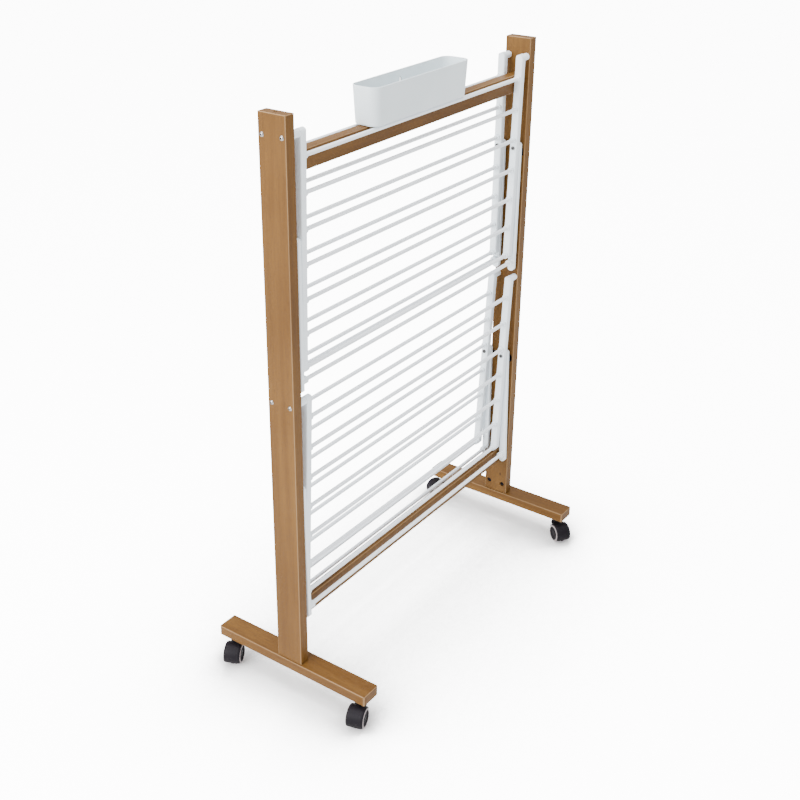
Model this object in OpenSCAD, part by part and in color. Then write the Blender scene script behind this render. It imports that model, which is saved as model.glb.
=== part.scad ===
// Folding clothes drying rack: two posts on wheeled feet, four hinged wings
// of round rods, a folding strut frame for each wing and a lift-off tray.
// Millimetres. X runs along the rack, -Y is the front, +Z is up.
// The origin lies on the floor, under the middle of the frame.

/* [Frame] */
// Width over the outer faces of the posts
frame_w = 1000; // [850:5:1100]
// Height of the post tops above the floor
frame_h = 1445; // [1445:1:1500]
// Thickness of a post, along the rack
post_t = 29; // [28:1:34]
// Width of a post, front to back
post_w = 73; // [73:1:85]
// Length of a foot, front to back
foot_l = 457; // [400:1:560]
// Width of a foot, along the rack
foot_w = 57; // [54:1:65]
// Thickness of a foot
foot_t = 27; // [26:1:32]
// How far both feet sit towards +X from the middle of their post
foot_shift = 11; // [0:1:12]
// Height of the two cross rails
rail_h = 46; // [40:1:50]
// Thickness of the two cross rails
rail_t = 27; // [22:1:27]

/* [Wings] */
// Number of rods in a wing
rod_count = 7; // [5:1:7]
// Diameter of a rod
rod_d = 10; // [8:1:10]
// Spacing of the rods along a wing
rod_pitch = 80.3; // [70:0.1:80.3]
// Distance from the hinge to the first rod
rod_first = 50; // [48:1:52]
// Width of a wing's side bar
side_w = 20; // [16:1:20]
// Thickness of a wing's side bar, along the rack
side_t = 18; // [16:1:20]
// Distance of the hinges in front of and behind the middle of the posts
hinge_y = 26; // [26:1:27]

/* [Struts] */
// Distance from a wing's hinge to the pivot of its strut
strut_at = 232; // [225:1:235]
// Distance from the strut's pivot to its cross rod
cross_at = 324; // [322:1:326]
// Height from the hinge down to the post socket that takes the strut
socket_drop = 250; // [245:1:255]

/* [Resting angles] */
// How far the front upper wing leans outwards as it hangs
lean_uf = -1; // [-1:0.1:2]
// How far the back upper wing leans outwards as it hangs
lean_ub = 0; // [-1:0.1:2]
// How far the front lower wing leans outwards as it hangs
lean_lf = -2; // [-2:0.1:2]
// How far the back lower wing leans outwards as it hangs
lean_lb = 2.7; // [-1:0.1:3]

/* [Tray] */
// Length of the tray at its rim
tray_l = 382; // [200:1:400]
// Width of the tray at its rim
tray_w = 74; // [60:1:74]
// Height of the tray
tray_h = 88; // [60:1:90]

/* [Casters] */
// Height from the floor to the underside of the foot
caster_h = 68; // [68:1:72]
// Diameter of a caster wheel
wheel_d = 50; // [46:1:50]
// Distance from the swivel axis to the wheel axle
caster_trail = 25; // [22:1:26]

/* [Hidden] */
$fn = 48;
fit = 0.05;
// How far a cutting shape runs past the surface that it cuts
over = 1;
edge_r = 3;
foot_corner_r = 7;

foot_top = caster_h + foot_t;
post_h = frame_h - foot_top;
post_x = (frame_w - post_t) / 2;
inner_x = frame_w / 2 - post_t;
rail_z = [205 + rail_h / 2, 1355 - rail_h / 2];

hinge_z = [795, 1398];
hinge_pin_r = 3;
hinge_pin_reach = 28;
pin_head_r = 5.8;
pin_head_h = 3;
pin_dome_r = 7;
pin_key_r = 2.3;
boss_r = 9;
boss_gap = 0.5;

side_out = inner_x - 20;
side_in = side_out - side_t;
side_end = rod_first + (rod_count - 1) * rod_pitch + 8;
rod_r = rod_d / 2;
rod_wall = 1;
rod_grip = 12;
rod_end_gap = 0.5;
collar_r = 8;
collar_l = 6;

strut_w = 20;
strut_t = 12;
strut_gap = 2;
strut_in = side_out + strut_gap;
pivot_r = 2.5;
pivot_head_r = 5;
pivot_head_h = 2.2;
pivot_tail_h = 1.8;
pivot_room = 0.3;
peg_at = norm([strut_at, socket_drop]);
peg_r = 4;
peg_l = 4.4;
strut_end = peg_at + 8;
cross_collar_r = 9;
cross_collar_l = 14;
cross_grip = 8;

socket_w = 12;
socket_h = 22;
socket_depth = 11;
socket_wall = 1.5;
socket_sink = 0.4;
nut_z = foot_top + 29;
nut_y = 22;
nut_r = 7;
nut_sink = 4;
nut_l = 16;
bolt_r = 3;
bolt_head_r = 5;
bolt_head_h = 6;
bolt_sink = 2;
bolt_past_nut = 5;
bolt_room = 0.2;
counterbore_r = 7;
counterbore_h = 9;
screwdriver_slot = 1.2;
dowel_r = 4;
dowel_l = 36;
dowel_in_rail = 20;
dowel_gap = 26;
top_hole_r = 4;
top_hole_depth = 20;

stem_y = 198;
stem_r = 4;
sleeve_r = 5.5;
sleeve_l = 21;
sleeve_rim_r = 8;
sleeve_rim_h = 0.8;
stem_from = 52;
stem_collar_r = 7.5;
stem_collar_h = 2.5;
stem_collar_drop = 4;
wheel_r = wheel_d / 2;
wheel_w = 18;
hood_w = 43;
hood_wall_out = 4;
hood_wall_in = 1.2;
hood_lip = 12;
hood_top = caster_h - 4.5;
web_t = 7;
web_r = wheel_r + 3;
web_low = 8;
neck_r = 11;
neck_top_r = 10;
neck_from = 34;
axle_r = 3;
wheel_gap = 0.5;
bay_gap = 0.3;
bay_w = 20;
wheel_dish = 3;
axle_pocket = 1.4;

tray_x = -12;
tray_y = -4;
tray_wall = 3;
tray_taper = 4;
tray_corner = 22;
tray_slot = [5, 14];
tray_slot_drop = 24;
guide_inset = 60;
guide_t = 3;
guide_drop = 11;
guide_gap = 0.5;
tray_z = rail_z[1] + rail_h / 2;

WOOD = [0.62, 0.42, 0.27];
WHITE = [0.89, 0.91, 0.93];
GREY = [0.78, 0.81, 0.82];
BLACK = [0.13, 0.12, 0.13];
STEEL = [0.72, 0.72, 0.74];

// A wing is [front or back, hinge height, lean, lean of its strut]
UF = [-1, hinge_z[1], lean_uf, 0];
UB = [1, hinge_z[1], lean_ub, 0];
LF = [-1, hinge_z[0], lean_lf, 1.5];
LB = [1, hinge_z[0], lean_lb, -0.9];

// A caster is [left or right, front or back, direction of its trail]
CLF = [-1, -1, 197];
CLB = [-1, 1, 205];
CRF = [1, -1, 236];
CRB = [1, 1, 150];

// ---- helpers ----

// Draws its children on the right, or mirrored on the left
module at_side(s) {
    if (s < 0) mirror([1, 0, 0]) children();
    else children();
}

// A cylinder along +X
module x_rod(r, l) {
    rotate([0, 90, 0]) cylinder(r = r, h = l);
}

// A rectangle with round corners, centred
module round_rect(w, d, r) {
    square([w - 2 * r, d], center = true);
    square([w, d - 2 * r], center = true);
    for (i = [-1, 1], j = [-1, 1])
        translate([i * (w / 2 - r), j * (d / 2 - r)]) circle(r);
}

// A centred block whose twelve edges are rounded; the upright ones by corner_r
module soft_bar(size, r, corner_r) {
    intersection() {
        linear_extrude(size.z, center = true) round_rect(size.x, size.y, corner_r);
        rotate([90, 0, 0]) linear_extrude(size.y, center = true) round_rect(size.x, size.z, r);
        rotate([90, 0, 90]) linear_extrude(size.x, center = true) round_rect(size.y, size.z, r);
    }
}

// A flat bar with round ends, hanging from the origin, thick along +X
module hanging_bar(w, t, down) {
    rotate([90, 0, 90]) linear_extrude(t) {
        circle(d = w);
        translate([-w / 2, -down + w / 2]) square([w, down - w / 2]);
        translate([0, -down + w / 2]) circle(d = w);
    }
}

// An upright slot, centred, cut along +X
module slot(w, h, depth) {
    rotate([90, 0, 90]) linear_extrude(depth) {
        square([w, h - w], center = true);
        for (j = [-1, 1]) translate([0, j * (h - w) / 2]) circle(d = w);
    }
}

// ---- wooden frame ----

module post(s) {
    color(WOOD) at_side(s) difference() {
        translate([post_x, 0, foot_top + post_h / 2])
            soft_bar([post_t, post_w, post_h], edge_r, edge_r);
        for (z = hinge_z, f = [-1, 1]) {
            translate([inner_x - over, f * hinge_y, z])
                x_rod(hinge_pin_r + fit, post_t + 2 * over);
            translate([inner_x - over, f * hinge_y, z - socket_drop])
                slot(socket_w + 2 * fit, socket_h + 2 * fit, socket_depth + over);
        }
        for (f = [-1, 1]) {
            translate([inner_x - over, f * nut_y, nut_z])
                x_rod(nut_r, over + nut_sink + nut_l + over);
            translate([post_x, f * nut_y, foot_top - over])
                cylinder(r = bolt_r + bolt_room, h = nut_z - foot_top + bolt_past_nut + 3 * over);
        }
        for (z = rail_z, j = [-1, 1])
            translate([inner_x - over, 0, z + j * dowel_gap / 2])
                x_rod(dowel_r + fit, dowel_l - dowel_in_rail + 2 * over);
        translate([post_x, 0, frame_h - top_hole_depth])
            cylinder(r = top_hole_r, h = top_hole_depth + over);
    }
}

module foot(s) {
    color(WOOD) difference() {
        translate([s * post_x + foot_shift, 0, caster_h + foot_t / 2])
            soft_bar([foot_w, foot_l, foot_t], edge_r, foot_corner_r);
        for (f = [-1, 1]) {
            translate([s * post_x, f * nut_y, caster_h - over]) {
                cylinder(r = bolt_r + bolt_room, h = foot_t + 2 * over);
                cylinder(r = counterbore_r, h = counterbore_h);
            }
            translate([s * post_x + foot_shift, f * stem_y, caster_h - over])
                cylinder(r = sleeve_r + fit, h = sleeve_l + 2 * over);
        }
    }
}

module cross_rail(z) {
    color(WOOD) difference() {
        translate([0, 0, z]) rotate([90, 0, 90])
            linear_extrude(2 * inner_x, center = true) round_rect(rail_t, rail_h, edge_r);
        for (s = [-1, 1], j = [-1, 1])
            at_side(s) translate([inner_x - dowel_in_rail - over, 0, z + j * dowel_gap / 2])
                x_rod(dowel_r + fit, dowel_in_rail + 2 * over);
    }
}

module rail_dowels() {
    color([0.8, 0.66, 0.48])
        for (s = [-1, 1], z = rail_z, j = [-1, 1])
            at_side(s) translate([inner_x - dowel_in_rail, 0, z + j * dowel_gap / 2])
                x_rod(dowel_r, dowel_l);
}

module foot_bolts() {
    color(STEEL)
        for (s = [-1, 1], f = [-1, 1])
            translate([s * post_x, f * nut_y, caster_h + bolt_sink]) difference() {
                union() {
                    cylinder(r = bolt_head_r, h = bolt_head_h);
                    cylinder(r = bolt_r, h = nut_z + bolt_past_nut - caster_h - bolt_sink);
                }
                translate([0, 0, -over])
                    cylinder(r = bolt_head_r / 2, h = bolt_head_h / 2 + over, $fn = 6);
            }
}

module barrel_nuts() {
    color(STEEL)
        for (s = [-1, 1], f = [-1, 1])
            at_side(s) translate([inner_x + nut_sink, f * nut_y, nut_z]) difference() {
                x_rod(nut_r - 2 * fit, nut_l);
                translate([post_x - inner_x - nut_sink, 0, -nut_r]) cylinder(r = bolt_r, h = 2 * nut_r);
                translate([-over, -nut_r, -screwdriver_slot / 2])
                    cube([2 * over, 2 * nut_r, screwdriver_slot]);
            }
}

// Dome-headed pins that the wings turn on, pushed in from the outer faces
module hinge_pins() {
    color(STEEL)
        for (s = [-1, 1], z = hinge_z, f = [-1, 1])
            at_side(s) translate([frame_w / 2, f * hinge_y, z]) difference() {
                union() {
                    translate([-post_t - hinge_pin_reach, 0, 0])
                        x_rod(hinge_pin_r, post_t + hinge_pin_reach);
                    intersection() {
                        translate([pin_head_h - pin_dome_r, 0, 0]) sphere(r = pin_dome_r);
                        x_rod(pin_head_r, pin_head_h + over);
                    }
                }
                translate([pin_head_h / 3, 0, 0]) rotate([0, 90, 0])
                    cylinder(r = pin_key_r, h = pin_head_h, $fn = 6);
            }
}

// Black slotted bushes in the inner faces of the posts
module strut_sockets() {
    color(BLACK)
        for (s = [-1, 1], z = hinge_z, f = [-1, 1])
            at_side(s) translate([inner_x - socket_sink, f * hinge_y, z - socket_drop]) difference() {
                slot(socket_w, socket_h, socket_depth);
                translate([-over, 0, 0])
                    slot(socket_w - 2 * socket_wall, socket_h - 2 * socket_wall, socket_depth - socket_wall);
            }
}

module caster_sleeves() {
    color(STEEL)
        for (s = [-1, 1], f = [-1, 1])
            translate([s * post_x + foot_shift, f * stem_y, caster_h]) difference() {
                union() {
                    cylinder(r = sleeve_r, h = sleeve_l);
                    translate([0, 0, -sleeve_rim_h]) cylinder(r = sleeve_rim_r, h = sleeve_rim_h);
                }
                translate([0, 0, -over]) cylinder(r = stem_r + fit, h = sleeve_l);
            }
}

// ---- tray ----

module tray_block(l, w, r, drop, h) {
    hull() {
        translate([0, 0, h - over]) linear_extrude(over) round_rect(l, w, r);
        linear_extrude(over) round_rect(l - 2 * drop, w - 2 * drop, r - drop);
    }
}

module tray() {
    color(GREY) translate([tray_x, tray_y, tray_z]) difference() {
        tray_block(tray_l, tray_w, tray_corner, tray_taper, tray_h, $fn = 32);
        translate([0, 0, tray_wall])
            tray_block(tray_l - 2 * tray_wall, tray_w - 2 * tray_wall,
                       tray_corner - tray_wall, tray_taper, tray_h, $fn = 32);
        translate([0, 0, tray_h - tray_slot_drop]) rotate([0, 0, 90])
            slot(tray_slot[0], tray_slot[1], tray_w);
    }
}

// Two strips under the tray's floor that sit either side of the top rail
module tray_guides() {
    color(GREY)
        for (j = [-1, 1])
            translate([tray_x, j * (rail_t / 2 + guide_gap + guide_t / 2), tray_z - guide_drop / 2])
                cube([tray_l - 2 * guide_inset, guide_t, guide_drop], center = true);
}

// ---- wings ----

module wing_place(w) {
    translate([0, w[0] * hinge_y, w[1]]) rotate([w[0] * w[2], 0, 0]) children();
}

module wing_side(w, s) {
    color(WHITE) wing_place(w) at_side(s) difference() {
        union() {
            translate([side_in, 0, 0]) intersection() {
                hanging_bar(side_w, side_t, side_end);
                translate([side_t / 2, 0, -side_end / 2]) linear_extrude(2 * side_end, center = true)
                    round_rect(side_t, side_w, edge_r);
            }
            translate([side_out - over, 0, 0]) x_rod(boss_r, inner_x - boss_gap - side_out + over);
            for (i = [0 : rod_count - 1])
                translate([side_in - collar_l, 0, -rod_first - i * rod_pitch])
                    x_rod(collar_r, collar_l + over);
        }
        translate([inner_x - hinge_pin_reach - over, 0, 0])
            x_rod(hinge_pin_r + fit, hinge_pin_reach + 2 * over);
        for (i = [0 : rod_count - 1])
            translate([side_in - collar_l - over, 0, -rod_first - i * rod_pitch])
                x_rod(rod_r + fit, over + collar_l + rod_grip + rod_end_gap);
        translate([side_in - over, 0, -strut_at]) x_rod(pivot_r + fit, side_t + 2 * over);
    }
}

// A thin-walled tube along X, centred
module x_tube(l) {
    translate([-l / 2, 0, 0]) difference() {
        x_rod(rod_r, l);
        translate([-over, 0, 0]) x_rod(rod_r - rod_wall, l + 2 * over);
    }
}

module wing_rods(w) {
    color(WHITE) wing_place(w)
        for (i = [0 : rod_count - 1])
            translate([0, 0, -rod_first - i * rod_pitch]) x_tube(2 * (side_in + rod_grip));
}

// Cross-head screws that hold the struts, with a peened end outside them
module wing_pivots(w) {
    color(STEEL) wing_place(w)
        for (s = [-1, 1])
            at_side(s) translate([side_in, 0, -strut_at]) difference() {
                union() {
                    translate([-pivot_head_h, 0, 0]) x_rod(pivot_head_r, pivot_head_h);
                    x_rod(pivot_r, strut_in + strut_t + pivot_tail_h - side_in);
                    translate([strut_in + strut_t + pivot_room - side_in, 0, 0])
                        x_rod(pivot_head_r, pivot_tail_h);
                }
                for (turn = [0, 90])
                    translate([-pivot_head_h, 0, 0]) rotate([turn, 0, 0])
                        cube([2 * over, 2 * pivot_head_r * 0.6, screwdriver_slot], center = true);
            }
}

// ---- struts ----

module strut_place(w) {
    wing_place(w) translate([0, 0, -strut_at]) rotate([w[0] * (w[3] - w[2]), 0, 0]) children();
}

module strut_bars(w) {
    color(WHITE) strut_place(w)
        for (s = [-1, 1])
            at_side(s) difference() {
                union() {
                    translate([strut_in, 0, 0]) intersection() {
                        hanging_bar(strut_w, strut_t, strut_end);
                        translate([strut_t / 2, 0, -strut_end / 2])
                            linear_extrude(2 * strut_end, center = true)
                            round_rect(strut_t, strut_w, edge_r);
                    }
                    translate([side_out + pivot_room, 0, 0]) x_rod(collar_r, strut_gap - pivot_room + over);
                    translate([strut_in - cross_collar_l, 0, -cross_at])
                        x_rod(cross_collar_r, cross_collar_l + over);
                    translate([strut_in + strut_t - over, 0, -peg_at]) x_rod(peg_r, peg_l + over);
                }
                translate([side_out - over, 0, 0]) x_rod(pivot_r + fit, strut_gap + strut_t + 2 * over);
                translate([strut_in - cross_collar_l - over, 0, -cross_at])
                    x_rod(rod_r + fit, over + cross_collar_l + cross_grip + rod_end_gap);
            }
}

module strut_cross_rod(w) {
    color(WHITE) strut_place(w) translate([0, 0, -cross_at]) x_tube(2 * (strut_in + cross_grip));
}

// ---- casters ----
// Built about the swivel axis with the wheels trailing along +X, axle along Y.

module caster_place(c) {
    translate([c[0] * post_x + foot_shift, c[1] * stem_y, 0]) rotate([0, 0, c[2]]) children();
}

module y_rod(r, l) {
    rotate([90, 0, 0]) cylinder(r = r, h = l, center = true);
}

module caster_stem(c) {
    color(STEEL) caster_place(c) {
        translate([0, 0, stem_from]) cylinder(r = stem_r, h = caster_h + sleeve_l - 2 * over - stem_from);
        translate([0, 0, caster_h - stem_collar_drop]) cylinder(r = stem_collar_r, h = stem_collar_h);
    }
}

// The cover over both wheels, open at the floor and on the stem's side
module caster_hood(c) {
    color(BLACK) caster_place(c) difference() {
        union() {
            translate([caster_trail, 0, wheel_r]) difference() {
                y_rod(wheel_r + hood_wall_out, hood_w);
                y_rod(wheel_r + hood_wall_in, hood_w + over);
                translate([-wheel_d, -hood_w, -hood_lip - wheel_d]) cube([2 * wheel_d, 2 * hood_w, wheel_d]);
                translate([-hood_lip - wheel_d, -hood_w, hood_lip - wheel_d])
                    cube([wheel_d, 2 * hood_w, wheel_d]);
            }
            intersection() {
                translate([caster_trail, 0, wheel_r]) y_rod(web_r, web_t);
                translate([-neck_top_r, -web_t, web_low]) cube([3 * wheel_r, 2 * web_t, caster_h]);
            }
            translate([0, 0, neck_from]) cylinder(r = neck_top_r, h = hood_top - neck_from);
        }
        translate([0, 0, -over]) cylinder(r = neck_r + over, h = neck_from + over);
        translate([0, 0, stem_from - over]) cylinder(r = stem_r, h = 2 * neck_top_r);
        for (j = [-1, 1])
            translate([caster_trail, j * (web_t / 2 + bay_gap + bay_w / 2), wheel_r])
                y_rod(wheel_r + hood_wall_in, bay_w);
        translate([caster_trail, 0, wheel_r]) y_rod(axle_r, 2 * hood_w);
    }
}

module caster_axle(c) {
    color(STEEL) caster_place(c)
        translate([caster_trail, 0, wheel_r]) y_rod(axle_r, web_t + 2 * (wheel_w - wheel_dish));
}

module caster_wheel(c, j) {
    color(BLACK) caster_place(c)
        translate([caster_trail, j * (web_t / 2 + wheel_gap + wheel_w / 2), wheel_r]) rotate([-90 * j, 0, 0])
        difference() {
            rotate_extrude() polygon([
                [axle_r + fit, -wheel_w / 2], [wheel_r - 2, -wheel_w / 2],
                [wheel_r, -wheel_w / 2 + 2], [wheel_r, wheel_w / 2 - 3],
                [wheel_r - 1, wheel_w / 2 - 1], [wheel_r - 3, wheel_w / 2],
                [wheel_r - 5, wheel_w / 2], [wheel_r - 6, wheel_w / 2 - wheel_dish + 1],
                [8, wheel_w / 2 - wheel_dish], [axle_r + fit, wheel_w / 2 - wheel_dish]
            ]);
            translate([0, 0, wheel_w / 2 - wheel_dish - axle_pocket])
                cylinder(r = axle_r + fit, h = wheel_dish + axle_pocket + over);
        }
}

// ---- what is drawn ----

post(-1);  // post_left
post(1);  // post_right
foot(-1);  // foot_left
foot(1);  // foot_right
cross_rail(rail_z[1]);  // top_rail
cross_rail(rail_z[0]);  // bottom_rail
rail_dowels();
foot_bolts();
barrel_nuts();
hinge_pins();
strut_sockets();
caster_sleeves();
tray();
tray_guides();
wing_side(UF, -1);  // wing_uf_side_left
wing_side(UF, 1);  // wing_uf_side_right
wing_rods(UF);  // wing_uf_rods
wing_pivots(UF);  // wing_uf_pivots
wing_side(UB, -1);  // wing_ub_side_left
wing_side(UB, 1);  // wing_ub_side_right
wing_rods(UB);  // wing_ub_rods
wing_pivots(UB);  // wing_ub_pivots
wing_side(LF, -1);  // wing_lf_side_left
wing_side(LF, 1);  // wing_lf_side_right
wing_rods(LF);  // wing_lf_rods
wing_pivots(LF);  // wing_lf_pivots
wing_side(LB, -1);  // wing_lb_side_left
wing_side(LB, 1);  // wing_lb_side_right
wing_rods(LB);  // wing_lb_rods
wing_pivots(LB);  // wing_lb_pivots
strut_bars(UF);  // strut_uf_bars
strut_cross_rod(UF);  // strut_uf_cross_rod
strut_bars(UB);  // strut_ub_bars
strut_cross_rod(UB);  // strut_ub_cross_rod
strut_bars(LF);  // strut_lf_bars
strut_cross_rod(LF);  // strut_lf_cross_rod
strut_bars(LB);  // strut_lb_bars
strut_cross_rod(LB);  // strut_lb_cross_rod
caster_stem(CLF);  // caster_lf_stem
caster_hood(CLF);  // caster_lf_hood
caster_axle(CLF);  // caster_lf_axle
caster_wheel(CLF, -1);  // caster_lf_wheel_a
caster_wheel(CLF, 1);  // caster_lf_wheel_b
caster_stem(CLB);  // caster_lb_stem
caster_hood(CLB);  // caster_lb_hood
caster_axle(CLB);  // caster_lb_axle
caster_wheel(CLB, -1);  // caster_lb_wheel_a
caster_wheel(CLB, 1);  // caster_lb_wheel_b
caster_stem(CRF);  // caster_rf_stem
caster_hood(CRF);  // caster_rf_hood
caster_axle(CRF);  // caster_rf_axle
caster_wheel(CRF, -1);  // caster_rf_wheel_a
caster_wheel(CRF, 1);  // caster_rf_wheel_b
caster_stem(CRB);  // caster_rb_stem
caster_hood(CRB);  // caster_rb_hood
caster_axle(CRB);  // caster_rb_axle
caster_wheel(CRB, -1);  // caster_rb_wheel_a
caster_wheel(CRB, 1);  // caster_rb_wheel_b
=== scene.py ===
# %% [markdown]
# # A folding clothes drying rack
# The rack is two wooden posts on wheeled feet, joined by two rails. Four wings of
# white rods hang from the posts, each with a folding strut, and a grey tray sits on
# the top rail. The engineering model already holds every part at its true size and
# place, so this lesson dresses it: it lights the rack, gives each part a finish, and
# models in mesh the pieces whose shape deserves more than the plain solids have.

# %% Load the frame
import math

import bmesh
import bpy
from mathutils import Matrix, Vector


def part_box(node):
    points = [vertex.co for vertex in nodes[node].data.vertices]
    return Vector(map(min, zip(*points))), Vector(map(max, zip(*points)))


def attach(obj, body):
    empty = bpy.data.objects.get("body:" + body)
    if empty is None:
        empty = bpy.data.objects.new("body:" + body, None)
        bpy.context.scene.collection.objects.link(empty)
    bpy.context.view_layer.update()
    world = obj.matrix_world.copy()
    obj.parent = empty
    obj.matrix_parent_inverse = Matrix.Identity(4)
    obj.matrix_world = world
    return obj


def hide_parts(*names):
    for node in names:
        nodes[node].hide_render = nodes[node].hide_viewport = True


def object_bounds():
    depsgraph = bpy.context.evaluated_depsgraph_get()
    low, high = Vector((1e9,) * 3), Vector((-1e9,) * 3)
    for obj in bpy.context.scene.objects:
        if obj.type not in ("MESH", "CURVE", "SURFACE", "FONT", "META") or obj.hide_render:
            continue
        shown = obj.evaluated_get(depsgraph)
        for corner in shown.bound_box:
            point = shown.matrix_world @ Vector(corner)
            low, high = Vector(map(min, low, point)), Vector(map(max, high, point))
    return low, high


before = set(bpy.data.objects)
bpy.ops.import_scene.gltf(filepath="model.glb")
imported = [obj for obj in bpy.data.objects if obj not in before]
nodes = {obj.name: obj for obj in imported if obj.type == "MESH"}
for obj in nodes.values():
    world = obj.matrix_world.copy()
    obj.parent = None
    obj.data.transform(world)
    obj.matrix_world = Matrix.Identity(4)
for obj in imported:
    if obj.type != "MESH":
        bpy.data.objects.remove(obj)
cad_low, cad_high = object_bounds()
print("the rack measures", [round(side, 3) for side in cad_high - cad_low], "metres")

# %% [markdown]
# ## Camera
# The rack is seen from the front left, from above its own top. A camera is easiest to
# place with a point and two angles: yaw turns it from +Y towards +X, and pitch tips it
# down. Blender's camera looks along its own -Z, so a level camera is tipped up by 90
# degrees first. The small lens shift slides the picture without turning the camera.

# %% Camera
camera_spot = Vector((-2.290, -1.554, 2.039))
camera_yaw = 53.67
camera_pitch = -25.24
lens_data = bpy.data.cameras.new("camera")
lens_data.lens = 54.7
lens_data.shift_x = 0.04
lens_data.shift_y = -0.06
camera = bpy.data.objects.new("camera", lens_data)
camera.location = camera_spot
camera.rotation_euler = (math.radians(90 + camera_pitch), 0, math.radians(-camera_yaw))
bpy.context.scene.collection.objects.link(camera)
bpy.context.scene.camera = camera
print("the camera stands", round(camera_spot.length, 2), "metres from the rack's foot")

# %% [markdown]
# ## Materials
# A material is a little network of nodes. Written out by hand it is long and hard to
# read, so two small classes help. Wire stands for one output of a node and knows plus,
# minus, times and divide, so sums of masks read like sums. Finish is a material being
# made: its add method takes a node's type, its settings and what its sockets get.

# %% Wires and finishes
class Wire:
    """One output of a node, which can be used in sums."""

    def __init__(self, finish, socket):
        self.finish = finish
        self.socket = socket

    def maths(self, operation, first, second):
        return self.finish.add("ShaderNodeMath", {"operation": operation}, {0: first, 1: second})

    def __add__(self, other):
        return self.maths("ADD", self, other)

    def __sub__(self, other):
        return self.maths("SUBTRACT", self, other)

    def __rsub__(self, other):
        return self.maths("SUBTRACT", other, self)

    def __mul__(self, other):
        return self.maths("MULTIPLY", self, other)

    __radd__ = __add__
    __rmul__ = __mul__


class Finish:
    """A material in the making, round one Principled shader."""

    def __init__(self, name, **constants):
        self.material = bpy.data.materials.new(name)
        self.material.use_nodes = True
        self.tree = self.material.node_tree
        self.shader = self.tree.nodes["Principled BSDF"]
        for socket, value in constants.items():
            self.shader.inputs[socket.replace("_", " ")].default_value = value
        self.place = self.add("ShaderNodeTexCoord", output="Object")

    def add(self, kind, settings=None, sockets=None, output=0):
        """Adds a node: its settings are set first, then each socket's value or wire."""
        new = self.tree.nodes.new(kind)
        for name, value in (settings or {}).items():
            setattr(new, name, value)
        for name, value in (sockets or {}).items():
            self.feed(new.inputs[name], value)
        return Wire(self, new.outputs[output])

    def feed(self, socket, value):
        if isinstance(value, Wire):
            self.tree.links.new(value.socket, socket)
        else:
            socket.default_value = value

    def look(self, **surface):
        """Feeds the shader's own sockets, such as Base_Color or Roughness."""
        for socket, value in surface.items():
            self.feed(self.shader.inputs[socket.replace("_", " ")], value)

    def noise(self, place, scale, detail=2.0, roughness=0.5):
        sockets = {"Vector": place, "Scale": scale, "Detail": detail, "Roughness": roughness}
        return self.add("ShaderNodeTexNoise", {}, sockets)

    def spread(self, value, low, high, new_low=0.0, new_high=1.0):
        """Maps low..high to new_low..new_high, without going past the ends."""
        sockets = {0: value, 1: low, 2: high, 3: new_low, 4: new_high}
        return self.add("ShaderNodeMapRange", {"interpolation_type": "SMOOTHSTEP"}, sockets)

    def mix(self, share, first, second):
        """Mixes two colours."""
        first, second = [c if isinstance(c, Wire) else (*c, 1.0) for c in (first, second)]
        sockets = {0: share, 6: first, 7: second}
        return self.add("ShaderNodeMix", {"data_type": "RGBA"}, sockets, output=2)

    def bump(self, height, depth):
        return self.add("ShaderNodeBump", {}, {"Height": height, "Distance": depth, "Strength": 1.0})

    def stretch(self, scale, shift=(0, 0, 0)):
        """The piece's own coordinates, scaled and then moved."""
        sockets = {"Vector": self.place, "Location": shift, "Scale": scale}
        return self.add("ShaderNodeMapping", {}, sockets)


def give(finish, *names):
    """Puts a finish on CAD nodes, in place of the plain one they came with."""
    for name in names:
        slots = nodes[name].data.materials
        slots.clear()
        slots.append(finish.material)


# %% [markdown]
# ## Studio
# A white cove and soft light from all round suit a catalogue view. One large panel on
# the left lights the outer faces of the posts, another lights what faces up, and the
# pale surroundings fill the rest. The floor is white paper that is lit harder than the
# rack, which a studio does with lamps of its own: here the paper glows for the camera
# only, and an Ambient Occlusion node dims that glow where something stands over it. The
# wall behind is the world's background: bright for the camera, milder as a light.

# %% Floor and light
def panel(name, spot, aim, size, power):
    """A square softbox at spot, turned to face aim."""
    light = bpy.data.lights.new(name, "AREA")
    light.size = size
    light.energy = power
    holder = bpy.data.objects.new(name, light)
    holder.location = spot
    holder.rotation_euler = (Vector(aim) - Vector(spot)).to_track_quat("-Z", "Y").to_euler()
    bpy.context.scene.collection.objects.link(holder)


floor_reach = 40.0
floor_mesh = bmesh.new()
bmesh.ops.create_grid(floor_mesh, x_segments=2, y_segments=2, size=floor_reach)
floor_data = bpy.data.meshes.new("floor")
floor_mesh.to_mesh(floor_data)
floor_mesh.free()
floor = bpy.data.objects.new("floor", floor_data)
floor.location.z = cad_low.z - 0.0005
bpy.context.scene.collection.objects.link(floor)
paper = Finish("floor_paper", Roughness=0.9, Specular_IOR_Level=0.1, Emission_Strength=10.5)
paper_cloud = paper.noise(paper.place, 0.7)
open_sky = paper.add("ShaderNodeAmbientOcclusion", {"samples": 12}, {"Distance": 0.8}, output=1)
seen = paper.add("ShaderNodeLightPath", output=0)
# Where the rack stands over the paper the glow is dimmed: this is a painted shadow on the floor.
glow = seen * paper.spread(open_sky, 0.70, 0.98)
paper.look(
    Base_Color=paper.mix(paper_cloud, (0.90, 0.90, 0.90), (0.93, 0.93, 0.93)),
    Emission_Color=paper.mix(glow, (0.0, 0.0, 0.0), (1.0, 1.0, 1.0)),
)
floor_data.materials.append(paper.material)

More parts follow.
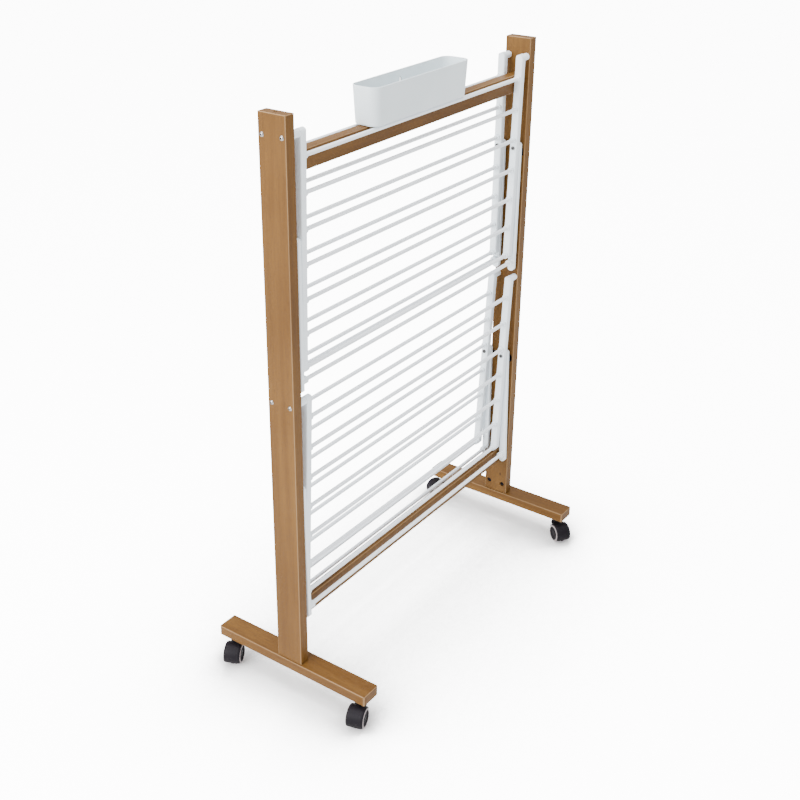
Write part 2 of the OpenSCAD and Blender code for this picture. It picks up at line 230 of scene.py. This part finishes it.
sky = bpy.data.worlds.new("studio")
bpy.context.scene.world = sky
sky.use_nodes = True
wall = sky.node_tree.nodes["Background"]
wall.inputs["Color"].default_value = (1.0, 1.0, 1.0, 1.0)
wall_seen = sky.node_tree.nodes.new("ShaderNodeMapRange")
wall_seen.inputs["To Min"].default_value = 1.35
wall_seen.inputs["To Max"].default_value = 10.5
wall_path = sky.node_tree.nodes.new("ShaderNodeLightPath")
sky.node_tree.links.new(wall_path.outputs["Is Camera Ray"], wall_seen.inputs["Value"])
sky.node_tree.links.new(wall_seen.outputs["Result"], wall.inputs["Strength"])

rack_middle = (0.0, 0.0, 0.75)
panel("left_softbox", (-4.4, 1.0, 2.6), rack_middle, 3.6, 405)
panel("top_softbox", (-0.6, 0.4, 4.6), rack_middle, 4.0, 270)
print("the floor lies at", round(floor.location.z, 4))

# %% [markdown]
# ## Stained beech
# The frame is beech with a brown stain under a satin lacquer. Beech has a straight,
# fine figure: long faint streaks where the growth rings run, thin pores between them,
# and short dark flecks. Noise that is squeezed across the grain and left long along it
# draws all three. Each board has its own grain direction and its own patch of pattern.
# The stain is rubbed thin on the rounded edges, and the paler tone there is partly a
# painted highlight along them. On a board cut square to the axes those are the only
# places where the normal lies between the axes, so the normal finds them.

# %% Stained beech
STAIN_DARK = (0.081, 0.033, 0.005)
STAIN_PALE = (0.150, 0.071, 0.014)
STAIN_PORE = (0.045, 0.017, 0.004)
STAIN_RUBBED_AND_HIGHLIGHT = (0.300, 0.190, 0.100)
ALONG = {"x": (0.045, 1.0, 1.0), "y": (1.0, 0.045, 1.0), "z": (1.0, 1.0, 0.045)}


def rounded_edges(wood):
    """1 on the rounded edges of a square-cut board, whose normals lie between the axes."""
    normal = wood.add("ShaderNodeTexCoord", output="Normal")
    apart = {"Vector": wood.add("ShaderNodeVectorMath", {"operation": "ABSOLUTE"}, {0: normal})}
    x, y, z = [wood.add("ShaderNodeSeparateXYZ", {}, apart, output=i) for i in range(3)]
    squarest = x.maths("MAXIMUM", x, y.maths("MAXIMUM", y, z))
    return wood.spread(squarest, 0.80, 0.985, 1.0, 0.0)


def knot_marks(wood, knots):
    """1 in the middle of each knot, fading out along the grain, as a sum of masks."""
    marks = 0
    for spot, across, along in knots:
        spread = (along, across, along)
        near = wood.stretch([1 / s for s in spread], [-c / s for c, s in zip(spot, spread)])
        reach = wood.add("ShaderNodeVectorMath", {"operation": "LENGTH"}, {0: near}, output=1)
        marks = marks + wood.spread(reach, 0.25, 1.0, 1.0, 0.0)
    return marks


def beech(name, grain, shift, knots=()):
    """Stained, lacquered beech with its grain along one axis."""
    wood = Finish(name, IOR=1.45, Specular_IOR_Level=0.2, Coat_Roughness=0.35)
    board = wood.stretch(ALONG[grain], shift=shift)
    rings = wood.noise(board, 34, detail=3, roughness=0.55)
    pores = wood.noise(board, 420, detail=3, roughness=0.65)
    cloud = wood.noise(wood.stretch((1, 1, 1), shift=shift), 5, detail=1)
    flecks = wood.spread(wood.noise(board, 900, detail=1), 0.63, 0.72)
    tone = wood.spread(rings * 0.55 + pores * 0.3 + cloud * 0.25, 0.32, 0.78)
    stain = wood.mix(tone, STAIN_DARK, STAIN_PALE)
    stain = wood.mix(flecks * 0.55, stain, STAIN_PORE)
    # Paler rounded edges: partly stain rubbed thin, partly a painted highlight.
    rubbed_and_highlight = rounded_edges(wood) * wood.spread(rings, 0.25, 0.6, 0.35, 0.75)
    stain = wood.mix(rubbed_and_highlight, stain, STAIN_RUBBED_AND_HIGHLIGHT)
    if knots:
        stain = wood.mix(knot_marks(wood, knots) * 0.8, stain, STAIN_PORE)
    wood.look(
        Base_Color=stain,
        Roughness=wood.spread(pores, 0.3, 0.7, 0.46, 0.6),
        Coat_Weight=wood.spread(cloud, 0.3, 0.7, 0.01, 0.03),
        Normal=wood.bump(pores * 0.7 - flecks * 0.5, 0.00012),
    )
    return wood


right_post_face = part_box("post_right")[0].x
knot = ((right_post_face, -0.015, cad_low.z + 0.157), 0.0045, 0.0075)
for side, shift, knots in (("left", 0.0, ()), ("right", 3.1, (knot,))):
    give(beech("beech_post_" + side, "z", (shift, 0.4, shift), knots), "post_" + side)
    give(beech("beech_foot_" + side, "y", (0.7, shift, 0.2)), "foot_" + side)
for end, shift in (("top", 1.3), ("bottom", 5.2)):
    give(beech("beech_rail_" + end, "x", (shift, 0.0, shift)), end + "_rail")
give(beech("beech_dowels", "x", (2.0, 2.0, 2.0)), "rail_dowels")
print("stained beech is on the posts, feet and rails")

# %% [markdown]
# ## White coating, grey and black plastic, bright steel
# The moulded side bars are white plastic with a faint moulded texture, and the rods are
# steel tube with a smooth white coating. Fine noise gives the texture as a bump far
# shallower than the eye measures, and slow noise gives the tiny change of tone. Metal is
# darkened deep in its sockets and crosses as painted shade, which the Ambient Occlusion
# node finds.

# %% Plastics
def moulded(name, pale, dark, rough, grain=1500, depth=0.00003, **constants):
    """A plastic or coating: a slow change of tone, and a fine skin."""
    skin = Finish(name, **constants)
    slow = skin.noise(skin.place, 9, detail=2)
    fine = skin.noise(skin.place, grain, detail=2, roughness=0.6)
    skin.look(
        Base_Color=skin.mix(skin.spread(slow, 0.35, 0.65), dark, pale),
        Roughness=skin.spread(fine + slow * 0.5, 0.5, 1.0, rough - 0.05, rough + 0.06),
        Normal=skin.bump(fine, depth),
    )
    return skin


white_plastic = moulded("white_plastic", (0.83, 0.89, 0.93), (0.79, 0.85, 0.89), 0.38)
white_coat = moulded("white_coat", (0.87, 0.91, 0.95), (0.83, 0.87, 0.91), 0.3, 700, 0.00002)
tray_grey = moulded("tray_grey", (0.72, 0.79, 0.82), (0.69, 0.76, 0.79), 0.45)
black_plastic = moulded("black_plastic", (0.012, 0.010, 0.013), (0.007, 0.006, 0.008), 0.45,
                        Specular_IOR_Level=0.08)
grey_tread = moulded("grey_tread", (0.30, 0.26, 0.265), (0.26, 0.225, 0.23), 0.6, 900)

# %% Metals
def metal(name, pale, dark):
    """Turned metal, darkened in the depth of a socket or a cross as painted shade."""
    made = Finish(name, Metallic=1.0)
    turned = made.noise(made.stretch((30, 1, 1)), 160, detail=2)
    clean = made.mix(turned, dark, pale)
    opening = made.add("ShaderNodeAmbientOcclusion", {"samples": 8}, {"Distance": 0.004}, output=1)
    made.look(
        # The near-black mix in the depths is painted shade.
        Base_Color=made.mix(made.spread(opening, 0.45, 0.95), (0.015, 0.013, 0.012), clean),
        Roughness=made.spread(turned, 0.3, 0.7, 0.16, 0.28),
    )
    return made


steel = metal("bright_steel", (0.46, 0.44, 0.42), (0.26, 0.24, 0.23))
screw_steel = metal("dark_screw_steel", (0.12, 0.12, 0.12), (0.07, 0.07, 0.07))
print("metals:", steel.material.name, "and", screw_steel.material.name)

# %% Finishes on the engineering nodes
for name in nodes:
    if name.startswith("wing") and "side" in name or name.endswith("_bars"):
        give(white_plastic, name)
    elif name.endswith("rods") or name.endswith("cross_rod"):
        give(white_coat, name)
    elif "hood" in name or "wheel" in name or name in ("strut_sockets", "barrel_nuts"):
        give(black_plastic, name)
    elif name.startswith("tray"):
        give(tray_grey, name)
    elif name.endswith("_pivots"):
        give(screw_steel, name)
    elif not name.startswith(("post", "foot_left", "foot_right")) and "rail" not in name:
        give(steel, name)
print(len(nodes), "parts have a finish")

# %% [markdown]
# ## Peg tray
# The tray is one thin injection-moulded shell: large round corners, walls that lean out
# a little so that it leaves its mould, a softly rounded rim and a hook slot in the back
# wall. A box is the quickest start. Its four upright edges take a large bevel, the lid
# is deleted, the bottom edge gets a small bevel, and solidify gives the wall its
# thickness. The slot is cut last with a Boolean, because a loop cut across the round
# corners would spoil their shading.

# %% Helpers for new pieces
def smoothed(shape, data, smooth_angle):
    """Writes a bmesh to a mesh, smooth except at edges sharper than smooth_angle."""
    for face in shape.faces:
        face.smooth = True
    for edge in shape.edges:
        folded = len(edge.link_faces) == 2 and edge.calc_face_angle(0) > math.radians(smooth_angle)
        edge.smooth = not folded
    shape.to_mesh(data)
    shape.free()


def finished(name, shape, smooth_angle=40):
    """Turns a bmesh into an object whose flat faces keep flat shading."""
    data = bpy.data.meshes.new(name)
    smoothed(shape, data, smooth_angle)
    piece = bpy.data.objects.new(name, data)
    bpy.context.scene.collection.objects.link(piece)
    weighted = piece.modifiers.new("even_shading", "WEIGHTED_NORMAL")
    weighted.keep_sharp = True
    return piece


def dress(piece, body, slot, *finishes):
    """Gives a piece its finishes and its body; the slot argument is not used."""
    for finish in finishes:
        piece.data.materials.append(finish.material)
    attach(piece, body)
    corners = [Vector(corner) for corner in piece.bound_box]
    span = Vector(max(c[i] for c in corners) - min(c[i] for c in corners) for i in range(3))
    print(piece.name, "has", len(piece.data.polygons), "faces and spans",
          [round(side * 1000, 1) for side in span], "mm")


def carve(piece, cutter):
    """Cuts one mesh object out of another and keeps only the result."""
    cut = piece.modifiers.new("cut", "BOOLEAN")
    cut.operation = "DIFFERENCE"
    cut.solver = "EXACT"
    cut.object = cutter
    now = bpy.context.evaluated_depsgraph_get()
    carved = bmesh.new()
    carved.from_mesh(piece.evaluated_get(now).to_mesh())
    piece.modifiers.remove(cut)
    smoothed(carved, piece.data, 40)
    bpy.data.objects.remove(cutter)


def block(shape, low, high):
    """Adds a box between two corners to a bmesh and returns its vertices."""
    low, high = Vector(low), Vector(high)
    placed = Matrix.Translation((low + high) / 2) @ Matrix.Diagonal((*(high - low), 1))
    return bmesh.ops.create_cube(shape, size=1, matrix=placed)["verts"]


def bevel(shape, edges, offset, segments):
    """A round bevel, with every setting that the operator needs given."""
    bmesh.ops.bevel(shape, geom=list(edges), offset=offset, offset_type="OFFSET",
                    segments=segments, profile=0.5, affect="EDGES", material=-1,
                    clamp_overlap=True)


# %% Tray shell
tray_low, tray_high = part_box("tray")
tray_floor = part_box("top_rail")[1].z
tray_wall = 0.003
tray_taper = 0.004
tray_corner = 0.022
tray_foot_round = 0.005

shell = bmesh.new()
block(shell, (tray_low.x, tray_low.y, tray_floor), tray_high)
tray_middle = (tray_low + tray_high) / 2
for corner in shell.verts:
    if corner.co.z < tray_middle.z:
        corner.co.x -= math.copysign(tray_taper, corner.co.x - tray_middle.x)
        corner.co.y -= math.copysign(tray_taper, corner.co.y - tray_middle.y)
uprights = [e for e in shell.edges if abs(e.verts[0].co.z - e.verts[1].co.z) > tray_corner]
bevel(shell, uprights, tray_corner, 12)
lid = [f for f in shell.faces if f.normal.z > 0.9]
bmesh.ops.delete(shell, geom=lid, context="FACES")
base = min(shell.faces, key=lambda face: face.normal.z)
bevel(shell, base.edges, tray_foot_round, 5)
bmesh.ops.recalc_face_normals(shell, faces=shell.faces)
bmesh.ops.solidify(shell, geom=list(shell.faces), thickness=tray_wall)
rim_top = max(corner.co.z for corner in shell.verts)
rim = [e for e in shell.edges if len(e.link_faces) == 2 and e.calc_face_angle(0) > math.radians(60)
       and min(v.co.z for v in e.verts) > rim_top - tray_wall]
bevel(shell, rim, tray_wall * 0.4, 3)
bmesh.ops.recalc_face_normals(shell, faces=shell.faces)
print("rim of", len(rim), "edges; tray top at", round(rim_top, 4))

# %% [markdown]
# The hook slot is a slim upright hole with round ends: a cylinder, stretched by moving
# its upper half up. Two strips under the tray's floor keep it on the rail; they are
# separate mouldings with softened lower edges.

# %% Hook slot
tray = finished("tray_shell", shell)
slot_radius = 0.0025
slot_reach = 0.0045
slot_drop = 0.024
hook = bmesh.new()
back_wall = Matrix.Translation((tray_middle.x, tray_high.y, tray_high.z - slot_drop))
bmesh.ops.create_cone(hook, cap_ends=True, segments=24, radius1=slot_radius,
                      radius2=slot_radius, depth=8 * tray_wall,
                      matrix=back_wall @ Matrix.Rotation(math.radians(90), 4, "X"))
for corner in hook.verts:
    corner.co.z += math.copysign(slot_reach, corner.co.z - (tray_high.z - slot_drop))
carve(tray, finished("hook_slot", hook))
# The slot's cut faces take a darker grey that is painted shade in the slot; the tray is one grey
# plastic.
slot_painted_shade = moulded("slot_painted_shade", (0.20, 0.22, 0.22), (0.16, 0.18, 0.18), 0.6)
slot_faces = [f for f in tray.data.polygons if abs(f.normal.y) < 0.5
              and abs(f.center.x - tray_middle.x) < 1.1 * slot_radius
              and abs(f.center.z - tray_high.z + slot_drop) < 1.1 * (slot_reach + slot_radius)]
for face in slot_faces:
    face.material_index = 1
print("the slot has", len(slot_faces), "cut faces")
dress(tray, "tray", "tray_plastic", tray_grey, slot_painted_shade)
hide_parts("tray")

# %% Guide strips
guides_low, guides_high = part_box("tray_guides")
guide_thickness = 0.003
strips = bmesh.new()
for near, far in ((guides_low.y, guides_low.y + guide_thickness),
                  (guides_high.y - guide_thickness, guides_high.y)):
    strip = block(strips, (guides_low.x, near, guides_low.z), (guides_high.x, far, guides_high.z))
    lower = {e for v in strip for e in v.link_edges
             if max(w.co.z for w in e.verts) < guides_high.z - guide_thickness}
    bevel(strips, lower, guide_thickness * 0.3, 3)
guides = finished("tray_guide_strips", strips)
dress(guides, "tray", "tray_plastic", tray_grey)
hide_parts("tray_guides")

# %% [markdown]
# ## Twin-wheel casters
# A caster is a black hood over two wheels that share one axle. The hood is moulded in one
# piece: an arch over both wheels, a web between them and a neck that takes the steel
# stem. Everything on it is round about the axle or about the stem, so spin makes it all:
# the arch is a shallow U turned part of a circle about the axle, and the neck is a
# profile turned full circle about the stem. The pieces are modelled with the stem at the
# origin and the wheels trailing towards +X, then turned the way each caster points.

# %% Where the casters stand
def caster_place(name):
    """The matrix that puts a caster model where the engineering model has it."""
    stem_low, stem_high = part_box(name + "_stem")
    axle_low, axle_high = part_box(name + "_axle")
    stem = (stem_low + stem_high) / 2
    trail = (axle_low + axle_high) / 2 - stem
    turn = Matrix.Rotation(math.atan2(trail.y, trail.x), 4, "Z")
    return Matrix.Translation((stem.x, stem.y, 0)) @ turn


caster_names = ("caster_lf", "caster_lb", "caster_rf", "caster_rb")
caster_bodies = ("caster_front_left", "caster_back_left", "caster_front_right", "caster_back_right")
axle_low, axle_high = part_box("caster_lf_axle")
stem_low, stem_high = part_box("caster_lf_stem")
wheel_radius = (axle_low.z + axle_high.z) / 2
trail = ((axle_low + axle_high) / 2 - (stem_low + stem_high) / 2).xy.length
axle = Vector((trail, 0, wheel_radius))
print("wheels of radius", round(wheel_radius, 4), "trail by", round(trail, 4))

# %% Hood
hood_half = 0.0214
arch_radius = 0.0286
arch_wall = 0.0016
shoulder_across = 0.0065
shoulder_drop = 0.0030
web_half = 0.0035
arch_from, arch_to = 152, -28
web_to = -52


def turned_about_axle(shape, points, start, end, steps):
    """Spins an outline of (across, radius) points about the axle, from angle to angle."""
    begin = Matrix.Translation(axle) @ Matrix.Rotation(-math.radians(start), 4, "Y")
    line = [shape.verts.new(begin @ Vector((radius, across, 0))) for across, radius in points]
    edges = [shape.edges.new(pair) for pair in zip(line, line[1:])]
    full = abs(start - end) == 360
    bmesh.ops.spin(shape, geom=line + edges, cent=axle, axis=(0, 1, 0), steps=steps,
                   angle=math.radians(start - end), use_merge=full)


def hood_mesh():
    arch = bmesh.new()
    side = []
    for step in range(8):
        around = math.radians(step * 90 / 7)
        side.append((hood_half - shoulder_across * (1 - math.cos(around)),
                     arch_radius - shoulder_drop * (1 - math.sin(around)) - 0.0003))
    outline = side + [(0.0, arch_radius)] + [(-across, radius) for across, radius in side[::-1]]
    turned_about_axle(arch, outline, arch_from, arch_to, 30)
    bmesh.ops.recalc_face_normals(arch, faces=arch.faces)
    if max(arch.faces, key=lambda face: face.calc_center_median().z).normal.z < 0:
        bmesh.ops.reverse_faces(arch, faces=arch.faces)
    bmesh.ops.solidify(arch, geom=list(arch.faces), thickness=arch_wall)
    return arch


def web_mesh():
    web = bmesh.new()
    edge = 0.0012
    outline = [(-web_half, 0.0032), (-web_half, arch_radius - edge - 0.001),
               (-web_half + edge, arch_radius - 0.001), (web_half - edge, arch_radius - 0.001),
               (web_half, arch_radius - edge - 0.001), (web_half, 0.0032),
               (-web_half, 0.0032)]
    turned_about_axle(web, outline, 168, web_to, 30)
    bmesh.ops.remove_doubles(web, verts=web.verts, dist=1e-6)
    ends = [e for e in web.edges if e.is_boundary]
    bmesh.ops.holes_fill(web, edges=ends, sides=12)
    bmesh.ops.recalc_face_normals(web, faces=web.faces)
    return web


def neck_mesh():
    neck = bmesh.new()
    top, flare = 0.0633, 0.0035
    outline = [(0.0041, 0.051), (0.0041, top), (0.0088, top), (0.0098, top - 0.001),
               (0.0100, top - 0.009), (0.0104, top - 0.0125), (0.0112 + flare, top - 0.0165),
               (0.0112 + flare, 0.043), (0.0060, 0.040), (0.0041, 0.040), (0.0041, 0.051)]
    line = [neck.verts.new((radius, 0, height)) for radius, height in outline[:-1]]
    edges = [neck.edges.new(pair) for pair in zip(line, line[1:] + line[:1])]
    bmesh.ops.spin(neck, geom=line + edges, cent=(0, 0, 0), axis=(0, 0, 1), steps=40,
                   angle=math.tau, use_merge=True)
    bmesh.ops.recalc_face_normals(neck, faces=neck.faces)
    return neck


def gathered(*shapes):
    """Puts several bmeshes into the first one."""
    first = shapes[0]
    for other in shapes[1:]:
        data = bpy.data.meshes.new("part")
        other.to_mesh(data)
        first.from_mesh(data)
        other.free()
        bpy.data.meshes.remove(data)
    return first


for name, body in zip(caster_names, caster_bodies):
    hood = gathered(hood_mesh(), web_mesh(), neck_mesh())
    hood.transform(caster_place(name))
    hood = finished(name + "_hood_shell", hood, 32)
    dress(hood, body, "black_plastic", black_plastic)
    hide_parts(name + "_hood")

# %% [markdown]
# ### Wheels
# Each wheel is a black disc with a soft grey tread, kinder to floors than a hard one. One
# outline turned full circle about the axle gives both: the faces that lie further out
# than the tread's inner edge take the second material. The outer side is dished, with a
# raised hub, and the tread's shoulder is round, because a sharp one would leave marks.

# %% Wheels
wheel_width = 0.018
wheel_gap = 0.004
tread_inner = 0.0196
bore = 0.00305


def wheel_mesh(side):
    inside, outside = wheel_gap, wheel_gap + wheel_width
    dish = outside - 0.003
    cap = dish + 0.0016
    outline = [(inside, bore), (inside, wheel_radius - 0.0018), (inside + 0.0006, wheel_radius - 0.0006),
               (inside + 0.002, wheel_radius), (outside - 0.0050, wheel_radius),
               (outside - 0.0028, wheel_radius - 0.0005), (outside - 0.0012, wheel_radius - 0.0016),
               (outside - 0.0003, wheel_radius - 0.0031), (outside, wheel_radius - 0.0044),
               (outside, tread_inner + 0.0004), (outside - 0.0004, tread_inner),
               (outside - 0.0016, tread_inner - 0.0004), (outside - 0.0022, tread_inner - 0.0012),
               (dish - 0.0006, 0.0150), (dish - 0.0008, 0.0095), (dish, 0.0082),
               (dish + 0.0012, 0.0076), (cap - 0.0002, 0.0062), (cap, 0.0), (dish + 0.0003, 0.0),
               (dish + 0.0003, bore), (inside, bore)]
    wheel = bmesh.new()
    turned_about_axle(wheel, [(side * across, radius) for across, radius in outline], 360, 0, 64)
    bmesh.ops.remove_doubles(wheel, verts=wheel.verts, dist=1e-6)
    bmesh.ops.recalc_face_normals(wheel, faces=wheel.faces)
    for face in wheel.faces:
        middle = face.calc_center_median() - axle
        face.material_index = int(math.hypot(middle.x, middle.z) > tread_inner)
    return wheel


for name, body in zip(caster_names, caster_bodies):
    for letter, side in (("a", -1), ("b", 1)):
        wheel = wheel_mesh(side)
        wheel.transform(caster_place(name))
        wheel = finished(f"{name}_wheel_{letter}_disc", wheel, 32)
        dress(wheel, f"{body}_wheel_{letter}", "wheel_plastic", black_plastic, grey_tread)
        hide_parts(f"{name}_wheel_{letter}")
